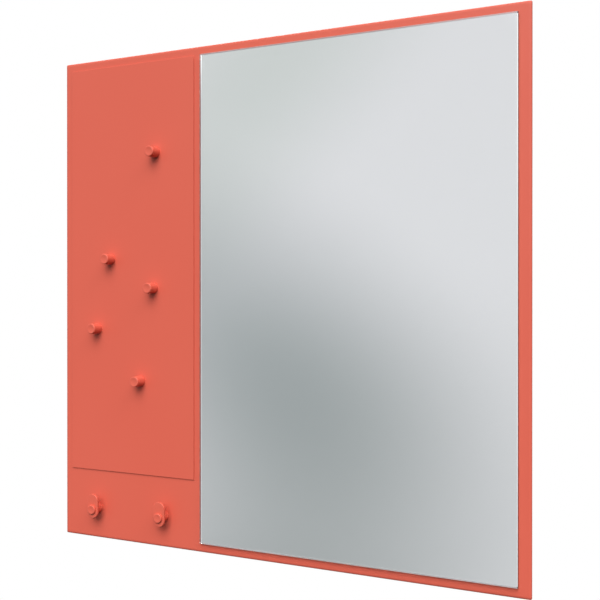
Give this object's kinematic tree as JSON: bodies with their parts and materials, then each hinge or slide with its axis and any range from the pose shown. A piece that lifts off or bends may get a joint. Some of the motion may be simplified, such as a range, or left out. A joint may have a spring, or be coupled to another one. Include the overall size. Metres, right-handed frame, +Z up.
{
  "type": "wall mirror with notice board",
  "caption": "Square lacquered wall panel with a large mirror, a narrow steel notice board with magnet knobs, and coat hooks below the board.",
  "frame": {"origin": "centre of the panel's back face, which lies on the wall", "axes": "+Z up, +Y into the wall, so the front looks along -Y; +X to the right seen from the front"},
  "size_m": [0.696, 0.031, 0.696],
  "materials": {
    "coral_lacquer": "satin lacquer on fibreboard",
    "coral_steel": "satin coating on steel sheet",
    "coral_knob": "satin lacquer on turned metal",
    "coral_hook": "satin lacquer on metal",
    "float_glass": "clear, polished edges",
    "silver_coat": "silvered",
    "foam_tape": "white foam, matt",
    "zinc_steel": "zinc plated",
    "nickel": "nickel plated"
  },
  "bodies": {
    "panel": {"back_panel": "coral_lacquer", "mirror_glass": "float_glass", "mirror_silvering": "silver_coat", "mirror_tape_strips": "foam_tape", "notice_board_plate": "coral_steel", "board_tape_strips": "foam_tape", "hanger_plate_left": "zinc_steel", "hanger_plate_right": "zinc_steel", "hanger_screws": "zinc_steel", "hook_left_stem": "coral_hook", "hook_left_plate": "coral_hook", "hook_left_button": "coral_hook", "hook_left_washer": "zinc_steel", "hook_left_nut": "zinc_steel", "hook_right_stem": "coral_hook", "hook_right_plate": "coral_hook", "hook_right_button": "coral_hook", "hook_right_washer": "zinc_steel", "hook_right_nut": "zinc_steel"},
    "knob_1": {"magnet_knob_1": "coral_knob", "magnet_disc_1": "nickel"},
    "knob_2": {"magnet_knob_2": "coral_knob", "magnet_disc_2": "nickel"},
    "knob_3": {"magnet_knob_3": "coral_knob", "magnet_disc_3": "nickel"},
    "knob_4": {"magnet_knob_4": "coral_knob", "magnet_disc_4": "nickel"},
    "knob_5": {"magnet_knob_5": "coral_knob", "magnet_disc_5": "nickel"}
  },
  "joints": [
    {"name": "knob_1_pull_off", "type": "slide", "parent": "panel", "child": "knob_1", "axis": [0, -1, 0], "range_m": [0, 0.04]},
    {"name": "knob_2_pull_off", "type": "slide", "parent": "panel", "child": "knob_2", "axis": [0, -1, 0], "range_m": [0, 0.04]},
    {"name": "knob_3_pull_off", "type": "slide", "parent": "panel", "child": "knob_3", "axis": [0, -1, 0], "range_m": [0, 0.04]},
    {"name": "knob_4_pull_off", "type": "slide", "parent": "panel", "child": "knob_4", "axis": [0, -1, 0], "range_m": [0, 0.04]},
    {"name": "knob_5_pull_off", "type": "slide", "parent": "panel", "child": "knob_5", "axis": [0, -1, 0], "range_m": [0, 0.04]}
  ]
}
